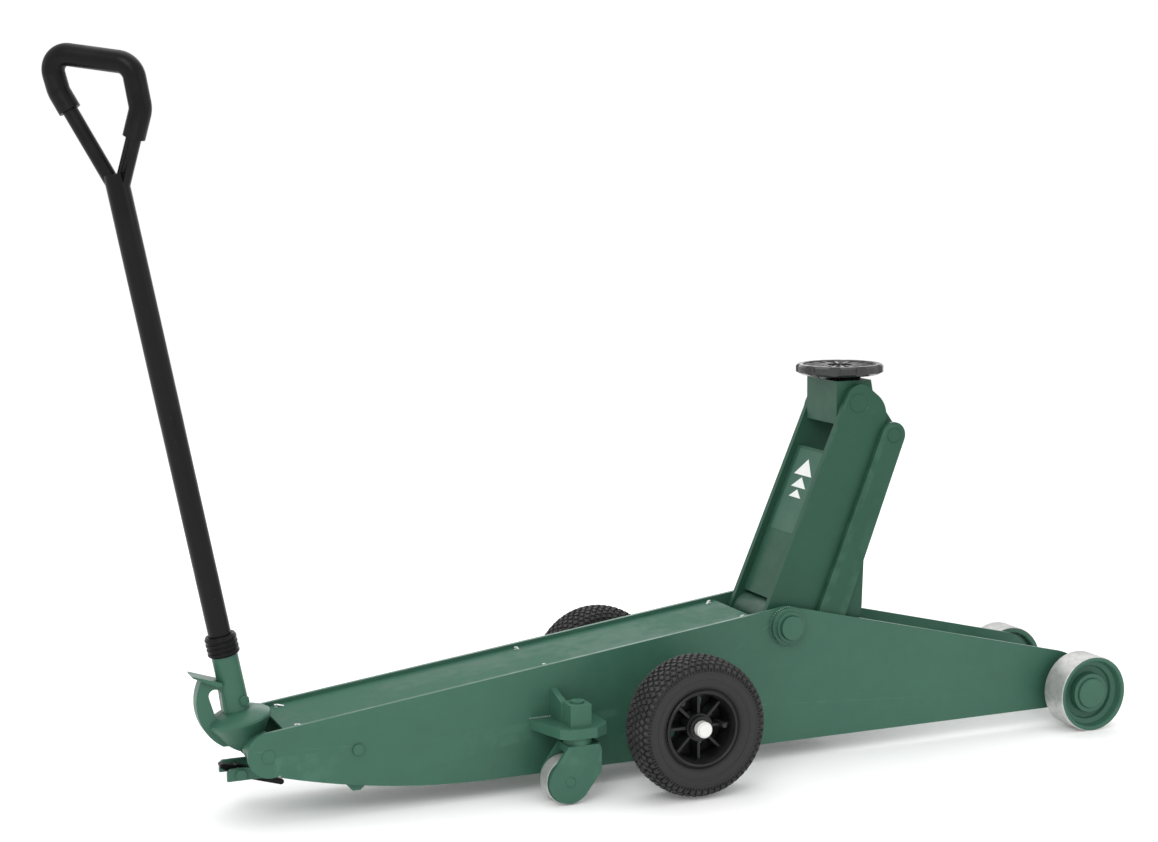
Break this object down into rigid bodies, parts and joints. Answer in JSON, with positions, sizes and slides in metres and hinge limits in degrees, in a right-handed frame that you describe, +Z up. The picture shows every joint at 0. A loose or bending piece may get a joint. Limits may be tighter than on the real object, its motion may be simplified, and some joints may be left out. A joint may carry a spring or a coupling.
{
  "type": "hydraulic trolley jack",
  "caption": "Long-frame hydraulic trolley jack with raised lift arm, D-grip handle, front rollers, pneumatic wheels and swivel casters.",
  "frame": {"origin": "on the floor, midway along the jack's length and between its two side plates", "axes": "+X towards the front rollers, +Y to the jack's left, +Z up"},
  "size_m": [2.0361, 0.538, 1.3318],
  "materials": {
    "frame_paint": "satin",
    "dark_paint": "satin",
    "bare_steel": "worn",
    "black_paint": "satin",
    "rubber": "matt",
    "grip_rubber": "matt",
    "cast_iron": "rough",
    "white_cap": "gloss"
  },
  "bodies": {
    "frame": {"side_plate_left": "frame_paint", "side_plate_right": "frame_paint", "top_cover": "frame_paint", "cover_screws": "bare_steel", "cover_rails": "frame_paint", "tie_plates": "frame_paint", "front_axle": "bare_steel", "axle_collars": "frame_paint", "main_shaft": "frame_paint", "pivot_collars": "frame_paint", "link_anchor_pins": "bare_steel", "stub_axles": "bare_steel", "axle_caps": "white_cap", "caster_bracket_left": "frame_paint", "caster_bracket_right": "frame_paint", "rear_pin": "frame_paint", "lever_bracket": "frame_paint", "lever_bolt": "bare_steel", "pump_block": "dark_paint", "pump_bolts": "frame_paint", "oil_reservoir": "dark_paint", "lift_cylinder": "dark_paint"},
    "lift_arm": {"arm_plate_left": "frame_paint", "arm_plate_right": "frame_paint", "arm_hub": "dark_paint", "arm_cover": "frame_paint", "arm_spreader": "dark_paint", "crank_pin": "bare_steel", "top_pin": "frame_paint"},
    "saddle_carrier": {"saddle_carrier": "frame_paint", "link_top_pin": "frame_paint"},
    "saddle": {"saddle": "cast_iron"},
    "link_left": {"link_left": "frame_paint"},
    "link_right": {"link_right": "frame_paint"},
    "ram": {"piston_rod": "bare_steel", "rod_crosshead": "bare_steel"},
    "front_roller_left": {"front_roller_left": "bare_steel", "hub_cap_left": "frame_paint"},
    "front_roller_right": {"front_roller_right": "bare_steel", "hub_cap_right": "frame_paint"},
    "wheel_left": {"tyre_left": "rubber", "rim_left": "black_paint"},
    "wheel_right": {"tyre_right": "rubber", "rim_right": "black_paint"},
    "caster_fork_left": {"caster_fork_left": "frame_paint", "caster_axle_left": "bare_steel"},
    "caster_fork_right": {"caster_fork_right": "frame_paint", "caster_axle_right": "bare_steel"},
    "caster_wheel_left": {"caster_wheel_left": "bare_steel"},
    "caster_wheel_right": {"caster_wheel_right": "bare_steel"},
    "handle_yoke": {"handle_yoke": "frame_paint", "foot_pedal": "frame_paint"},
    "handle": {"handle_socket": "frame_paint", "socket_bolt": "bare_steel", "handle_tube": "black_paint", "handle_collar": "grip_rubber", "handle_loop": "black_paint", "handle_grip": "grip_rubber"},
    "pump_plunger": {"pump_plunger": "bare_steel"},
    "release_lever": {"release_lever": "bare_steel"}
  },
  "joints": [
    {"name": "lift_arm", "type": "hinge", "parent": "frame", "child": "lift_arm", "pos_m": [0.30083, 0, 0.258], "axis": [0, 1, 0], "range_deg": [0, 84]},
    {"name": "saddle_carrier", "type": "hinge", "parent": "lift_arm", "child": "saddle_carrier", "pos_m": [0.46428, 0, 0.67082], "axis": [0, 1, 0], "range_deg": [-84, 0]},
    {"name": "saddle_turn", "type": "hinge", "parent": "saddle_carrier", "child": "saddle", "pos_m": [0.46428, 0, 0.70082], "axis": [0, 0, 1], "continuous": true},
    {"name": "link_left", "type": "hinge", "parent": "frame", "child": "link_left", "pos_m": [0.37243, 0.08, 0.1938], "axis": [0, 1, 0], "range_deg": [0, 84]},
    {"name": "link_right", "type": "hinge", "parent": "frame", "child": "link_right", "pos_m": [0.37243, -0.08, 0.1938], "axis": [0, 1, 0], "range_deg": [0, 84]},
    {"name": "ram", "type": "slide", "parent": "frame", "child": "ram", "axis": [1, 0, 0], "range_m": [-0.20074, 0]},
    {"name": "front_roller_left", "type": "hinge", "parent": "frame", "child": "front_roller_left", "pos_m": [0.94583, 0.144, 0.075], "axis": [0, 1, 0], "continuous": true},
    {"name": "front_roller_right", "type": "hinge", "parent": "frame", "child": "front_roller_right", "pos_m": [0.94583, -0.144, 0.075], "axis": [0, 1, 0], "continuous": true},
    {"name": "wheel_left", "type": "hinge", "parent": "frame", "child": "wheel_left", "pos_m": [0.04483, 0.226, 0.129], "axis": [0, 1, 0], "continuous": true},
    {"name": "wheel_right", "type": "hinge", "parent": "frame", "child": "wheel_right", "pos_m": [0.04483, -0.226, 0.129], "axis": [0, 1, 0], "continuous": true},
    {"name": "caster_swivel_left", "type": "hinge", "parent": "frame", "child": "caster_fork_left", "pos_m": [-0.15917, 0.166, 0.12], "axis": [0, 0, 1], "continuous": true},
    {"name": "caster_swivel_right", "type": "hinge", "parent": "frame", "child": "caster_fork_right", "pos_m": [-0.15917, -0.166, 0.12], "axis": [0, 0, 1], "continuous": true},
    {"name": "caster_wheel_left", "type": "hinge", "parent": "caster_fork_left", "child": "caster_wheel_left", "pos_m": [-0.18317, 0.166, 0.042], "axis": [0, 1, 0], "continuous": true},
    {"name": "caster_wheel_right", "type": "hinge", "parent": "caster_fork_right", "child": "caster_wheel_right", "pos_m": [-0.18317, -0.166, 0.042], "axis": [0, 1, 0], "continuous": true},
    {"name": "handle_pump", "type": "hinge", "parent": "frame", "child": "handle_yoke", "pos_m": [-0.70117, 0, 0.124], "axis": [0, 1, 0], "range_deg": [-28, 8]},
    {"name": "handle_turn", "type": "hinge", "parent": "handle_yoke", "child": "handle", "pos_m": [-0.74119, 0, 0.23409], "axis": [-0.1857, 0, 0.9826], "range_deg": [-30, 30]},
    {"name": "pump_plunger", "type": "slide", "parent": "frame", "child": "pump_plunger", "axis": [1, 0, 0], "range_m": [-0.005, 0.02]},
    {"name": "release_lever", "type": "hinge", "parent": "frame", "child": "release_lever", "pos_m": [-0.73617, 0, 0.0815], "axis": [0, 1, 0], "range_deg": [-6, 10]}
  ],
  "couplings": [
    {"joint": "saddle_carrier", "follows": "lift_arm", "ratio": -1},
    {"joint": "link_left", "follows": "lift_arm", "ratio": 1},
    {"joint": "link_right", "follows": "lift_arm", "ratio": 1},
    {"joint": "ram", "follows": "lift_arm", "m_per_rad": -0.13692},
    {"joint": "pump_plunger", "follows": "handle_pump", "m_per_rad": -0.0256}
  ]
}
